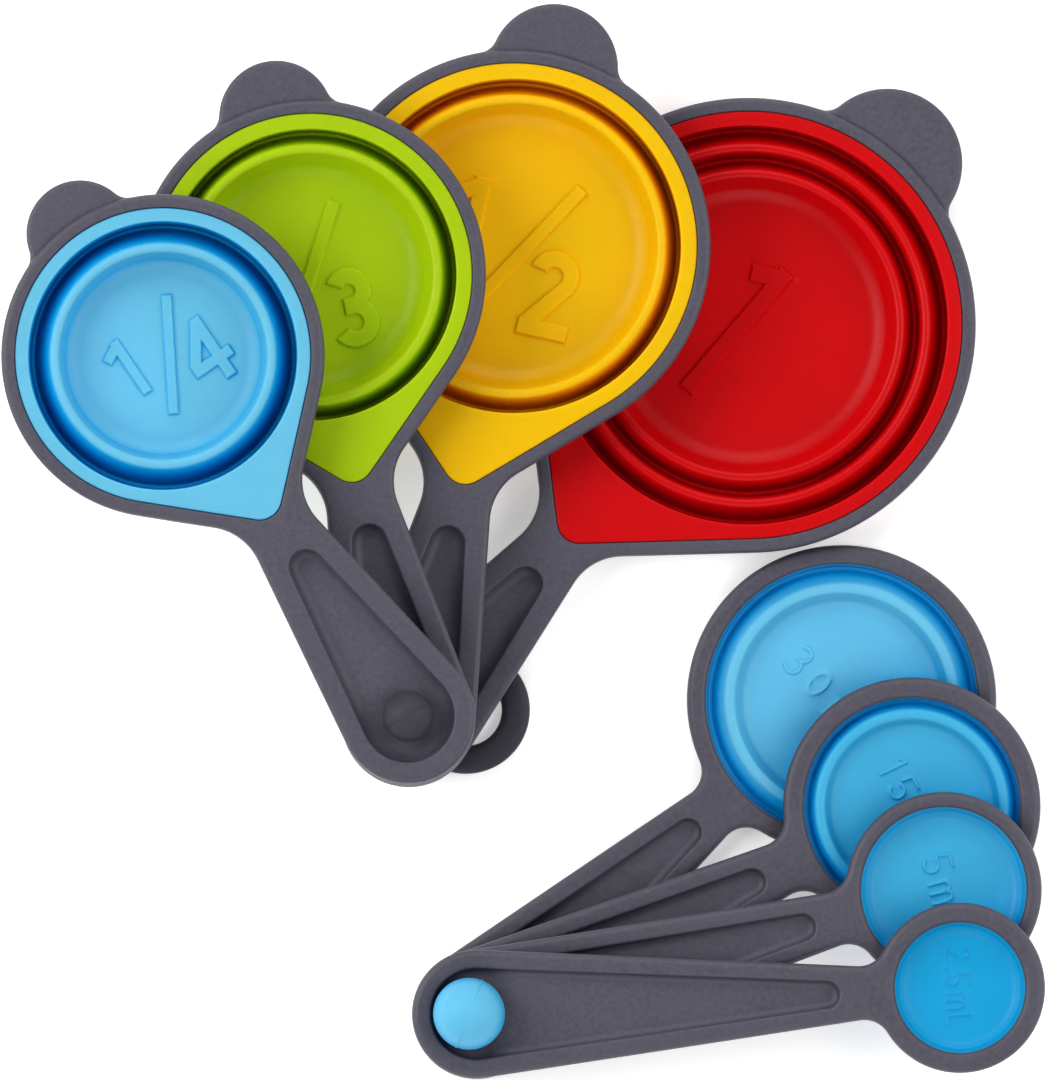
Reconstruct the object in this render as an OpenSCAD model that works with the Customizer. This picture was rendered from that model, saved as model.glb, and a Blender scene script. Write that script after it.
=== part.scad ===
// Nesting set of collapsible measuring cups and measuring spoons, fanned out on their pins.
// +Z up, table at z = 0, origin on the axis of the cup pin. Millimetres.

/* [Cups: one cup] */
// Pin axis to bowl centre
one_reach = 125.2; // [120:0.2:132]
// Direction of the handle
one_dir = 49.3; // [40:0.1:60]
// Bowl opening radius
one_mouth = 48; // [46:0.1:50]
// Flange radius
one_flange = 51.4; // [50.6:0.1:53]
// Outer crest radius
one_crest_a = 42.6; // [42:0.1:43.4]
// Inner crest radius
one_crest_b = 36.4; // [35.8:0.1:37]
// Base disc radius
one_base = 33.4; // [30:0.1:34]
// Thumb tab radius
one_tab = 18; // [12:0.1:20]
// Capacity in millilitres
one_ml = 250; // [230:1:260]

/* [Cups: half cup] */
// Pin axis to bowl centre
half_reach = 116.1; // [112:0.2:122]
// Direction of the handle
half_dir = 77.4; // [70:0.1:88]
// Bowl opening radius
half_mouth = 40.1; // [38.6:0.1:41]
// Flange radius
half_flange = 43.9; // [43.2:0.1:45]
// Crest radius
half_crest = 35.2; // [34.6:0.1:36]
// Base disc radius
half_base = 32.3; // [29:0.1:32.8]
// Thumb tab radius
half_tab = 15.4; // [11:0.1:18]
// Capacity in millilitres
half_ml = 120; // [110:1:125]

/* [Cups: third cup] */
// Pin axis to bowl centre
third_reach = 108.4; // [104:0.2:114]
// Direction of the handle
third_dir = 102.4; // [94:0.1:110]
// Bowl opening radius
third_mouth = 34.9; // [34:0.1:36]
// Flange radius
third_flange = 38.6; // [37.6:0.1:39.6]
// Crest radius
third_crest = 30.1; // [29.6:0.1:30.6]
// Base disc radius
third_base = 26.5; // [24:0.1:27.2]
// Thumb tab radius
third_tab = 13.7; // [10:0.1:16]
// Capacity in millilitres
third_ml = 80; // [72:1:84]

/* [Cups: quarter cup] */
// Pin axis to bowl centre
quarter_reach = 104; // [100:0.2:110]
// Direction of the handle
quarter_dir = 124.2; // [116:0.1:132]
// Bowl opening radius
quarter_mouth = 32.1; // [31:0.1:33]
// Flange radius
quarter_flange = 35.3; // [34.6:0.1:36.6]
// Crest radius
quarter_crest = 25.7; // [25.2:0.1:27]
// Base disc radius
quarter_base = 23.1; // [21:0.1:23.4]
// Thumb tab radius
quarter_tab = 12.8; // [9:0.1:15]
// Capacity in millilitres
quarter_ml = 60; // [54:1:64]

/* [Cup frames] */
// Frame thickness
frame_t = 6.4; // [5.6:0.1:7.2]
// Frame border outside the flange
border_w = 3.3; // [2.4:0.1:4]
// Radius of the handle end round the pin
hub_r = 16.1; // [14:0.1:18]
// Half width of the handle where it meets the bowl frame
neck_r = 6.8; // [6:0.1:8]
// Pin axis to the pointed end of the flange
flange_tip = 57.6; // [55:0.1:60]
// Rounding of the flange's pointed end
flange_tip_r = 5.3; // [4:0.1:6.5]
// Blend between handle and bowl frame
neck_blend = 14; // [8:0.5:20]
// Blend between tab and bowl frame
tab_blend = 5; // [3:0.5:7]
// Tab surface below the frame's top
tab_step = 1.2; // [0.6:0.1:2]
// Depth of the handle recess
recess_depth = 3.4; // [2.5:0.1:4]
// Recess radius round the pin
recess_r = 11; // [9.5:0.1:12]
// Recess radius at the bowl end
recess_tip_r = 4.1; // [3:0.1:5]
// Pin axis to the centre of the recess's bowl end
recess_len = 43; // [38:0.5:46]

/* [Silicone] */
// Wall thickness
wall_t = 1.2; // [1:0.1:1.4]
// Cup flange thickness
flange_t = 1.6; // [1.2:0.1:2]
// Flange surface below the frame's top
flange_drop = 0.4; // [0.2:0.1:0.8]
// Half width of a crest
crest_half = 1.3; // [1.2:0.05:1.5]
// Half width of a groove
groove_half = 0.5; // [0.4:0.05:0.6]
// Height of a raised numeral
numeral_h = 0.7; // [0.4:0.1:1]

/* [Pins] */
// Cup pin radius
cup_pin_r = 3; // [2.4:0.1:4]
// Cup pin ball head radius
cup_knob_r = 6; // [5:0.1:7.5]
// Radius of the cup pin's foot under the lowest handle
pin_foot_r = 5.2; // [4.6:0.1:5.3]
// Spoon pin radius
spoon_pin_r = 2.6; // [2:0.1:3.5]
// Spoon pin ball head radius
spoon_knob_r = 8.6; // [7:0.1:9.2]
// Running clearance of a pin in its bore
pin_gap = 0.06; // [0.03:0.01:0.09]
// Hanging loop outer radius
loop_r = 15.4; // [14:0.1:17]
// Hanging loop hole radius
loop_hole_r = 8.6; // [7.5:0.1:9.5]
// Hanging loop thickness
loop_t = 4.4; // [3.6:0.1:4.6]
// Hanging loop centre from the pin axis
loop_shift = 14; // [13:0.1:15]
// Direction of the hanging loop
loop_dir = 10.7; // [0:0.1:30]

/* [Spoons] */
// Spoon pin axis, X
spoons_x = 16.3; // [14:0.1:20]
// Spoon pin axis, Y
spoons_y = -70.8; // [-76:0.1:-68]
// Pin axis to every bowl centre
spoon_reach = 116; // [112:0.2:120]
// Spoon frame thickness
spoon_t = 5; // [4.6:0.1:5.4]
// Radius of the handle end round the pin
spoon_hub_r = 15.4; // [13:0.1:17]
// Half width of the handle at the bowl ring
spoon_neck_r = 6.1; // [5:0.1:7]
// Blend between handle and bowl ring
spoon_blend = 6.5; // [4:0.5:9]
// Depth of the handle recess
spoon_recess_depth = 2.4; // [1.8:0.1:3]
// Recess radius round the pin
spoon_recess_r = 10.8; // [9.6:0.1:12]
// Recess radius at the bowl end
spoon_recess_tip_r = 3.2; // [2.4:0.1:4]
// Solid length between recess and bowl ring
spoon_recess_stop = 8.5; // [6:0.5:11]
// Direction of the 30 ml spoon
s30_dir = 40.8; // [36:0.1:44]
// Direction of the 15 ml spoon
s15_dir = 25.6; // [20:0.1:30]
// Direction of the 5 ml spoon
s5_dir = 14.9; // [9:0.1:20]
// Direction of the 2.5 ml spoon
s2_dir = 3.1; // [-2:0.1:8]
// 30 ml ring radius
s30_ring = 37.2; // [36:0.1:38]
// 30 ml opening radius
s30_mouth = 32.6; // [31.8:0.1:33.4]
// 30 ml crest radius
s30_crest = 26.7; // [26:0.1:27.4]
// 30 ml base disc radius
s30_base = 23.6; // [22:0.1:24.2]
// 15 ml ring radius
s15_ring = 30.9; // [30:0.1:32]
// 15 ml opening radius
s15_mouth = 25.9; // [25.2:0.1:26.6]
// 15 ml crest radius
s15_crest = 21.9; // [21.4:0.1:22.4]
// 15 ml base disc radius
s15_base = 19.4; // [18:0.1:19.8]
// 5 ml ring radius
s5_ring = 23.5; // [22.8:0.1:24.5]
// 5 ml opening radius
s5_mouth = 19.8; // [19:0.1:20.4]
// 2.5 ml ring radius
s2_ring = 20.4; // [19.6:0.1:21.5]
// 2.5 ml opening radius
s2_mouth = 15.6; // [15:0.1:16.4]

/* [Hidden] */
$fn = 96;
e = 0.01;
sink = 0.4;            // how far an added feature reaches into the body it joins
graze = 0.02;          // how far a straight side runs inside a circle that it touches
knob_seat = 0.55;      // ball centre above its seat, in ball radii
tab_lift = 1;          // tab underside above the frame's
loop_edge = 1;         // bevel round the hanging loop
one_stroke = 4;        // width of the one cup's numeral
one_numeral = [[1, -17, 1, 17], [1, 17, -4, 14]];
ml = 1000;
fit_gap = 0.08;        // between a flange and its frame
level_gap = 0.3;       // between one piece and the next in the stack
down_share = 1.0;      // height of the mouth wall, in fold heights
up_share = 0.9;        // height of a folded wall
base_share = 0.95;     // height of the wall round the base
crest_share = down_share - up_share;
base_level = crest_share + base_share;
groove_share = 0.385;  // where a groove lies between the mouth, or a crest, and the next crest
lip_w = 1.5;           // spoon bowl edge held inside its ring
lip_drop = 0.8;
boss_r = 7.2;
spoon_boss_r = 6.2;
s30_ml = 30;
s15_ml = 15;
s5_depth = 4.7;
s2_depth = 3.6;

function unit(v) = v / norm(v);
function under(p, q) = let (d = unit(q - p)) [-d.y, d.x];
function mitre(a, b, t) = let (m = unit(a + b)) m * (t / (m * a));
// The line that runs wall thickness t below line p
function below(p, t) = [for (i = [0 : len(p) - 1])
    p[i] + (i == 0 ? under(p[0], p[1]) * t
          : i == len(p) - 1 ? under(p[i - 1], p[i]) * t
          : mitre(under(p[i - 1], p[i]), under(p[i], p[i + 1]), t))];
function slab_sum(r, s) = len(r) < 2 ? 0 :
    s * (r[0] * r[0] + r[0] * r[1] + r[1] * r[1]);
// Fold height that gives the capacity, from cone sections of the opened bowl
function fold_h2(m, a, b, base, v) = let (g = groove(m, a), k = groove(a, b))
    3 * v * ml / (PI * (slab_sum([m, g], down_share) + slab_sum([g, a], up_share)
    + slab_sum([a, k], up_share) + slab_sum([k, b], up_share) + slab_sum([b, base], base_share)));
function fold_h1(m, a, base, v) = let (g = groove(m, a))
    3 * v * ml / (PI * (slab_sum([m, g], down_share) + slab_sum([g, a], up_share)
    + slab_sum([a, base], base_share)));
function groove(m, c) = m + (c - m) * groove_share;

one_h = fold_h2(one_mouth, one_crest_a, one_crest_b, one_base, one_ml);
half_h = fold_h1(half_mouth, half_crest, half_base, half_ml);
third_h = fold_h1(third_mouth, third_crest, third_base, third_ml);
quarter_h = fold_h1(quarter_mouth, quarter_crest, quarter_base, quarter_ml);
s30_h = fold_h1(s30_mouth, s30_crest, s30_base, s30_ml);
s15_h = fold_h1(s15_mouth, s15_crest, s15_base, s15_ml);

// Heights of the frames' top faces above the table, lowest piece first
one_top = base_level * one_h + wall_t + flange_drop;
half_top = one_top + level_gap + base_level * half_h + wall_t + flange_drop;
third_top = half_top + level_gap + base_level * third_h + wall_t + flange_drop;
quarter_top = third_top + level_gap + base_level * quarter_h + wall_t + flange_drop;
s30_top = max(spoon_t + e, base_level * s30_h + wall_t + lip_drop);
s15_top = s30_top + level_gap + max(spoon_t, base_level * s15_h + wall_t + lip_drop);
s5_top = s15_top + level_gap + max(spoon_t, s5_depth + wall_t + lip_drop);
s2_top = s5_top + level_gap + max(spoon_t, s2_depth + wall_t + lip_drop);

grey = [0.33, 0.32, 0.36];
red = [0.80, 0.03, 0.05];
yellow = [0.93, 0.70, 0.02];
green = [0.66, 0.80, 0.16];
blue = [0.36, 0.74, 0.94];

// Two circles on the X axis and the straight sides between them. The sides cross the circles
// at a slight angle, because a side that only grazes a circle leaves no clean corner
module taper(x1, r1, x2, r2) {
    d = x2 - x1;
    s = (r1 - r2) / d;
    c = sqrt(1 - s * s);
    a = r1 - graze;
    b = r2 - graze;
    translate([x1, 0]) circle(r1);
    translate([x2, 0]) circle(r2);
    translate([x1, 0]) polygon([[a * s, a * c], [d + b * s, b * c], [d + b * s, -b * c],
        [a * s, -a * c]]);
}

module teardrop(reach, r, grow) {
    taper(flange_tip + flange_tip_r, flange_tip_r + grow, reach, r + grow);
}

// Concave blend on both sides of a handle: centre c, radius f, touch points p and q
module blend(c, f, p, q) {
    a = c + (p - c) * (f + sink) / f;
    b = c + (q - c) * (f + sink) / f;
    for (side = [0, 1]) mirror([0, side]) difference() {
        polygon([[a.x, 0], a, b, [b.x, 0]]);
        translate(c) circle(f + graze);
    }
}

// Handle of a cup, blended into the bowl frame
module cup_outline(reach, r) {
    rr = r + border_w;
    tx = flange_tip + flange_tip_r;
    tr = flange_tip_r + border_w;
    sa = (hub_r - neck_r) / tx;
    sb = (rr - tr) / (reach - tx);
    na = [sa, sqrt(1 - sa * sa)];
    nb = [-sb, sqrt(1 - sb * sb)];
    ka = hub_r + neck_blend;
    kb = tr - tx * sb + neck_blend;
    det = na.x * nb.y - na.y * nb.x;
    c = [(ka * nb.y - na.y * kb) / det, (na.x * kb - nb.x * ka) / det];
    taper(0, hub_r, tx, neck_r);
    teardrop(reach, r, border_w);
    blend(c, neck_blend, c - neck_blend * na, c - neck_blend * nb);
}

// Tab on the far side of the bowl frame
module tab_outline(reach, r, tr) {
    rr = r + border_w;
    cx = ((rr + tab_blend) ^ 2 - (tr + tab_blend) ^ 2 + r * r) / (2 * r);
    c = [cx, sqrt((rr + tab_blend) ^ 2 - cx * cx)];
    translate([reach, 0]) {
        translate([r, 0]) circle(tr);
        blend(c, tab_blend, c * rr / (rr + tab_blend),
            [r, 0] + (c - [r, 0]) * tr / (tr + tab_blend));
    }
}

module bore(r, top, depth) {
    translate([0, 0, top - depth]) cylinder(r = r, h = depth + 1);
}

// Rigid frame of a cup, top face at z = 0. foot is the hub's length below the frame
module cup_frame(reach, mouth, flange, tab, foot) {
    difference() {
        union() {
            translate([0, 0, -frame_t]) linear_extrude(frame_t) cup_outline(reach, flange);
            translate([0, 0, tab_lift - frame_t]) linear_extrude(frame_t - tab_lift - tab_step)
                tab_outline(reach, flange, tab);
            translate([0, 0, -frame_t - foot]) cylinder(r = boss_r, h = foot + sink);
        }
        translate([0, 0, -flange_drop - flange_t]) linear_extrude(frame_t)
            teardrop(reach, flange, fit_gap);
        translate([reach, 0, 0]) bore(mouth + wall_t + 2 * fit_gap, 0, frame_t + 1);
        translate([0, 0, -recess_depth]) linear_extrude(recess_depth + 1)
            taper(0, recess_r, recess_len, recess_tip_r);
        bore(cup_pin_r + pin_gap, 0, frame_t + foot + 1);
    }
}

// Upper line of a folded bowl from its edge to its centre
function two_folds(m, a, b, base, h, lip) = [[m + lip, 0], [m, 0],
    [groove(m, a) + groove_half, -down_share * h], [groove(m, a) - groove_half, -down_share * h],
    [a + crest_half, -crest_share * h], [a - crest_half, -crest_share * h],
    [groove(a, b) + groove_half, -down_share * h], [groove(a, b) - groove_half, -down_share * h],
    [b + crest_half, -crest_share * h], [b - crest_half, -crest_share * h],
    [base, -base_level * h], [0, -base_level * h]];
function one_fold(m, a, base, h, lip) = [[m + lip, 0], [m, 0],
    [groove(m, a) + groove_half, -down_share * h], [groove(m, a) - groove_half, -down_share * h],
    [a + crest_half, -crest_share * h], [a - crest_half, -crest_share * h],
    [base, -base_level * h], [0, -base_level * h]];
function dish(m, depth, lip) = [[m + lip, 0], [m, 0], [m - 0.9, -0.55 * depth],
    [m - 2.2, -0.86 * depth], [m - 4.2, -depth], [0, -depth]];

// Part of a bowl wall between two corners of its upper line
module wall(line, from, to) {
    low = below(line, wall_t);
    rotate_extrude() polygon(concat([for (i = [from : to]) line[i]],
        [for (i = [to : -1 : from]) [max(0, low[i].x), low[i].y]]));
}

// Flat teardrop flange of a cup bowl, upper face at z = 0
module flange_plate(reach, mouth, flange) {
    translate([0, 0, -flange_t]) linear_extrude(flange_t) difference() {
        teardrop(reach, flange, 0);
        translate([reach, 0]) circle(mouth + e);
    }
}

module cup_bowl(reach, mouth, flange, crest, base, h) {
    flange_plate(reach, mouth, flange);
    translate([reach, 0, 0]) wall(one_fold(mouth, crest, base, h, flange_t), 0, 7);
}

// Straight bars of a raised numeral: each bar is [x1, y1, x2, y2]
module bars(list, w) {
    for (b = list) {
        d = [b[2] - b[0], b[3] - b[1]];
        translate([b[0], b[1]]) rotate(atan2(d.y, d.x))
            translate([-w / 2, -w / 2]) square([norm(d) + w, w]);
    }
}

// Frame of a spoon, top face at z = 0
module spoon_outline(ring) {
    f = spoon_blend;
    s = (spoon_hub_r - spoon_neck_r) / (spoon_reach - ring);
    n = [s, sqrt(1 - s * s)];
    along = [n.y, -n.x];
    o = (spoon_hub_r + f) * n - [spoon_reach, 0];
    k = o * along;
    t = -k - sqrt(k * k - o * o + (ring + f) ^ 2);
    c = (spoon_hub_r + f) * n + t * along;
    taper(0, spoon_hub_r, spoon_reach - ring, spoon_neck_r);
    translate([spoon_reach, 0]) circle(ring);
    blend(c, f, c - f * n, [spoon_reach, 0] + (c - [spoon_reach, 0]) * ring / (ring + f));
}

module spoon_frame(ring, mouth, foot) {
    stop = spoon_reach - ring - spoon_recess_stop - spoon_recess_tip_r;
    difference() {
        union() {
            translate([0, 0, -spoon_t]) linear_extrude(spoon_t) spoon_outline(ring);
            translate([0, 0, -spoon_t - foot]) cylinder(r = spoon_boss_r, h = foot + sink);
        }
        translate([spoon_reach, 0, 0]) {
            bore(mouth, 0, spoon_t + 1);
            bore(mouth + wall_t + 2 * fit_gap, -lip_drop - 1, spoon_t);
            translate([0, 0, -lip_drop - wall_t - fit_gap])
                cylinder(r = mouth + lip_w + fit_gap, h = wall_t + 2 * fit_gap);
        }
        translate([0, 0, -spoon_recess_depth]) linear_extrude(spoon_recess_depth + 1)
            taper(0, spoon_recess_r, stop, spoon_recess_tip_r);
        bore(spoon_pin_r + pin_gap, 0, spoon_t + foot + 1);
    }
}

module at_cup(dir, top) { rotate([0, 0, dir]) translate([0, 0, top]) children(); }
module at_spoon(dir, top) {
    translate([spoons_x, spoons_y, 0]) at_cup(dir, top) children();
}
// Hub length that reaches down to the recess of the frame below
function foot(top, below_top, t, depth) = top - t - (below_top - depth) - fit_gap;

module cup_1_frame() {
    color(grey) at_cup(one_dir, one_top) cup_frame(one_reach, one_mouth, one_flange, one_tab, 0);
}
module cup_half_frame() {
    color(grey) at_cup(half_dir, half_top) cup_frame(half_reach, half_mouth, half_flange,
        half_tab, foot(half_top, one_top, frame_t, recess_depth));
}
module cup_third_frame() {
    color(grey) at_cup(third_dir, third_top) cup_frame(third_reach, third_mouth, third_flange,
        third_tab, foot(third_top, half_top, frame_t, recess_depth));
}
module cup_quarter_frame() {
    color(grey) at_cup(quarter_dir, quarter_top) cup_frame(quarter_reach, quarter_mouth,
        quarter_flange, quarter_tab, foot(quarter_top, third_top, frame_t, recess_depth));
}

module one_wall(from, to) {
    color(red) at_cup(one_dir, one_top - flange_drop) translate([one_reach, 0, 0])
        wall(two_folds(one_mouth, one_crest_a, one_crest_b, one_base, one_h, flange_t), from, to);
}
module cup_1_flange() {
    color(red) at_cup(one_dir, one_top - flange_drop) flange_plate(one_reach, one_mouth, one_flange);
    one_wall(0, 2);
}
module cup_1_pleat_outer() { one_wall(2, 4); }
module cup_1_band() { one_wall(4, 6); }
module cup_1_pleat_inner() { one_wall(6, 8); }
module cup_1_base() {
    one_wall(8, 11);
    color(red) rotate([0, 0, one_dir]) translate([one_reach, 0, wall_t - sink]) rotate([0, 0, -90])
        linear_extrude(numeral_h + sink) bars(one_numeral, one_stroke);
}

// Raised fraction on a base disc: a one, a slash and the digit tail centred at [x, y]
module fraction(reach, top, h, dir, size, tail, at) {
    w = 0.15 * size;
    at_cup(dir, top - flange_drop - base_level * h - sink) translate([reach, 0, 0])
        rotate([0, 0, -90]) linear_extrude(numeral_h + sink) {
            translate([-0.54 * size, 0.19 * size])
                bars(size * [[0, -0.42, 0, 0.42], [0, 0.42, -0.24, 0.24]], w);
            bars(size * [[-0.39, -0.82, 0.56, 0.76]], w);
            translate(at) bars(size * tail, w);
        }
}
four = [[0.14, -0.42, 0.14, 0.42], [0.14, 0.42, -0.28, -0.14], [-0.28, -0.2, 0.3, -0.2]];
three = [[-0.22, 0.42, 0.16, 0.42], [0.22, 0.36, 0.22, 0.08], [-0.06, 0.02, 0.16, 0.02],
    [0.22, -0.04, 0.22, -0.36], [-0.22, -0.42, 0.16, -0.42]];
two = [[-0.2, 0.42, 0.14, 0.42], [0.22, 0.36, 0.22, 0.14], [0.2, 0.08, -0.22, -0.36],
    [-0.22, -0.42, 0.24, -0.42]];

module cup_half_bowl() {
    color(yellow) {
        at_cup(half_dir, half_top - flange_drop)
            cup_bowl(half_reach, half_mouth, half_flange, half_crest, half_base, half_h);
        fraction(half_reach, half_top, half_h, half_dir, 21.8, two,
            [10.9, -9.1]);
    }
}
module cup_third_bowl() {
    color(green) {
        at_cup(third_dir, third_top - flange_drop)
            cup_bowl(third_reach, third_mouth, third_flange, third_crest, third_base, third_h);
        fraction(third_reach, third_top, third_h, third_dir, 19.7, three,
            [7.9, -9.4]);
    }
}
module cup_quarter_bowl() {
    color(blue) {
        at_cup(quarter_dir, quarter_top - flange_drop)
            cup_bowl(quarter_reach, quarter_mouth, quarter_flange, quarter_crest, quarter_base,
                quarter_h);
        fraction(quarter_reach, quarter_top, quarter_h, quarter_dir, 15, four,
            [10.9, -5.2]);
    }
}

// Ball head, stem and, for the cups, the hanging loop
module cup_pin() {
    floor_z = quarter_top - recess_depth + fit_gap;
    color(grey) {
        cylinder(r = cup_pin_r, h = floor_z + cup_knob_r / 2);
        cylinder(r = pin_foot_r, h = one_top - frame_t - fit_gap);
        difference() {
            translate([0, 0, floor_z + cup_knob_r * knob_seat]) sphere(cup_knob_r);
            bore(cup_knob_r + 1, floor_z, 2 * cup_knob_r - 1);
        }
        rotate([0, 0, loop_dir]) translate([loop_shift, 0, 0]) rotate_extrude()
            polygon([[loop_hole_r, loop_edge], [loop_hole_r + loop_edge, 0],
                [loop_r - loop_edge, 0], [loop_r, loop_edge], [loop_r, loop_t - loop_edge],
                [loop_r - loop_edge, loop_t], [loop_hole_r + loop_edge, loop_t],
                [loop_hole_r, loop_t - loop_edge]]);
    }
}
module spoon_pin() {
    floor_z = s2_top - spoon_recess_depth + fit_gap;
    color(blue) translate([spoons_x, spoons_y, 0]) {
        cylinder(r = spoon_pin_r, h = floor_z + spoon_knob_r / 2);
        cylinder(r = spoon_boss_r, h = s30_top - spoon_t - fit_gap);
        difference() {
            translate([0, 0, floor_z + spoon_knob_r * knob_seat]) sphere(spoon_knob_r);
            bore(spoon_knob_r + 1, floor_z, 2 * spoon_knob_r - 1);
        }
    }
}

module spoon_30_frame() { color(grey) at_spoon(s30_dir, s30_top) spoon_frame(s30_ring, s30_mouth, 0); }
module spoon_15_frame() {
    color(grey) at_spoon(s15_dir, s15_top) spoon_frame(s15_ring, s15_mouth,
        foot(s15_top, s30_top, spoon_t, spoon_recess_depth));
}
module spoon_5_frame() {
    color(grey) at_spoon(s5_dir, s5_top) spoon_frame(s5_ring, s5_mouth,
        foot(s5_top, s15_top, spoon_t, spoon_recess_depth));
}
module spoon_2_5_frame() {
    color(grey) at_spoon(s2_dir, s2_top) spoon_frame(s2_ring, s2_mouth,
        foot(s2_top, s5_top, spoon_t, spoon_recess_depth));
}

module s30_wall(from, to) {
    color(blue) at_spoon(s30_dir, s30_top - lip_drop) translate([spoon_reach, 0, 0])
        wall(one_fold(s30_mouth, s30_crest, s30_base, s30_h, lip_w), from, to);
}
module spoon_30_rim() { s30_wall(0, 2); }
module spoon_30_pleat() { s30_wall(2, 4); }
module spoon_30_base() { s30_wall(4, 7); }
module spoon_15_bowl() {
    color(blue) at_spoon(s15_dir, s15_top - lip_drop) translate([spoon_reach, 0, 0])
        wall(one_fold(s15_mouth, s15_crest, s15_base, s15_h, lip_w), 0, 7);
}
module spoon_5_bowl() {
    color(blue) at_spoon(s5_dir, s5_top - lip_drop) translate([spoon_reach, 0, 0])
        wall(dish(s5_mouth, s5_depth, lip_w), 0, 5);
}
module spoon_2_5_bowl() {
    color(blue) at_spoon(s2_dir, s2_top - lip_drop) translate([spoon_reach, 0, 0])
        wall(dish(s2_mouth, s2_depth, lip_w), 0, 5);
}

cup_pin();
cup_1_frame();
cup_1_flange();
cup_1_pleat_outer();
cup_1_band();
cup_1_pleat_inner();
cup_1_base();
cup_half_frame();
cup_half_bowl();
cup_third_frame();
cup_third_bowl();
cup_quarter_frame();
cup_quarter_bowl();
spoon_pin();
spoon_30_frame();
spoon_30_rim();
spoon_30_pleat();
spoon_30_base();
spoon_15_frame();
spoon_15_bowl();
spoon_5_frame();
spoon_5_bowl();
spoon_2_5_frame();
spoon_2_5_bowl();
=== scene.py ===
# Looks of a fanned set of folding measuring cups and spoons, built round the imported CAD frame.
# Each outline is worked out in millimetres with the handle along +X from its pin, the frame's
# top face at z = 0, and is then turned and lifted to where the CAD part lies.
import math

import bmesh
import bpy
import numpy as np
from mathutils import Matrix, Vector
from mathutils.geometry import delaunay_2d_cdt


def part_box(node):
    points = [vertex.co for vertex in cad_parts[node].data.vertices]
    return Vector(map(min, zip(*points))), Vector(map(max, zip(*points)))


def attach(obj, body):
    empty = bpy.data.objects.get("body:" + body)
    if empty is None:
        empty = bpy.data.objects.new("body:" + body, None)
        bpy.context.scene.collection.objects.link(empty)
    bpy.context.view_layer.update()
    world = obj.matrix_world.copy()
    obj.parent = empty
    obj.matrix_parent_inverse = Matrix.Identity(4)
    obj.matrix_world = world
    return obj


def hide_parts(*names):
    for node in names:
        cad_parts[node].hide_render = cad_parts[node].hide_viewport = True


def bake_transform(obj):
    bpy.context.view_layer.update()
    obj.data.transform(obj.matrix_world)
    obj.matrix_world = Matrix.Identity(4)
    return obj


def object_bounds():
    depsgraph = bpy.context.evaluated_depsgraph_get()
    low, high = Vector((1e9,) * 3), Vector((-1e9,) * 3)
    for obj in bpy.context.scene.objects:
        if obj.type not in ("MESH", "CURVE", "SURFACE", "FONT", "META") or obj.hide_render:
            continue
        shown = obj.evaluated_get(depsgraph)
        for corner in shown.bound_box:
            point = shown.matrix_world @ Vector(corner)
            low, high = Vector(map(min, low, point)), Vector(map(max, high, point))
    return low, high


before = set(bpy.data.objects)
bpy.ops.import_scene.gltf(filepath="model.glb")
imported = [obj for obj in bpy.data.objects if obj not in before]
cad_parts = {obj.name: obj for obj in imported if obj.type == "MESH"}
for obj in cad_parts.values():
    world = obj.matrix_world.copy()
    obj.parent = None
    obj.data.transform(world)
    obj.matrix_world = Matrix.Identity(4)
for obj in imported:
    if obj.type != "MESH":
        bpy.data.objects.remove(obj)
cad_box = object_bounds()

MM = 0.001
FINE = 0.04            # smallest gap between two points of a rounded edge
HAIR = 0.03            # bow of a straight side
ON_EDGE = 0.002        # a point this near to an outline counts as on it
POINT_GAP = 0.8        # gap between two points along an arc
AZIMUTHS = 360         # points round a bowl

# Driving sizes of the cups, in millimetres, as in the CAD part
CUPS = {
    "1": {"mouth": 48.0, "flange": 51.4, "crests": (42.6, 36.4), "base": 33.4, "tab": 18.0},
    "half": {"mouth": 40.1, "flange": 43.9, "crests": (35.2,), "base": 32.3, "tab": 15.4},
    "third": {"mouth": 34.9, "flange": 38.6, "crests": (30.1,), "base": 26.5, "tab": 13.7},
    "quarter": {"mouth": 32.1, "flange": 35.3, "crests": (25.7,), "base": 23.1, "tab": 12.8},
}
SPOONS = {
    "30": {"ring": 37.2, "mouth": 32.6, "crests": (26.7,), "base": 23.6},
    "15": {"ring": 30.9, "mouth": 25.9, "crests": (21.9,), "base": 19.4},
    "5": {"ring": 23.5, "mouth": 19.8, "crests": (), "base": 0.0},
    "2_5": {"ring": 20.4, "mouth": 15.6, "crests": (), "base": 0.0},
}
# Cup frames
CUP_T = 6.4
BORDER = 3.3
HUB = 16.1
NECK = 6.8
TIP_X = 62.9
TIP_R = 5.3
NECK_BLEND = 14.0
TAB_BLEND = 5.0
TAB_STEP = 1.2
RIM_ROUND = 1.3
UNDER_ROUND = 1.0
FLANGE_DROP = 0.4
FLANGE_T = 1.6
POCKET_GAP = 0.08      # play round a flange in its pocket
POCKET_LIP = 0.45      # rounding of the pocket's edge
LEDGE_GAP = 0.05       # play under a flange in its pocket
STEEP = 4.0            # fall of the blend from a rim to its tab, for each millimetre out
CREASE = 0.25          # softness of the crease between a rim and its tab
WELL_IN = 0.6          # from here inwards the rim alone sets the height
TAB_ROUND = 1.1
UNDER_TAB = 1.0        # underside of a thumb tab above the frame's
SEAT_GAP = 0.2         # play round a bowl's wall in its frame
RECESS_EDGE = 0.7      # rounding of a handle recess's edge
STACK_GAP = 0.08       # play between two handles, or a handle and a pin
CUP_RECESS = {"r": 11.0, "tip": 4.1, "x": 43.0, "depth": 3.4, "cove": 2.8}
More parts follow.
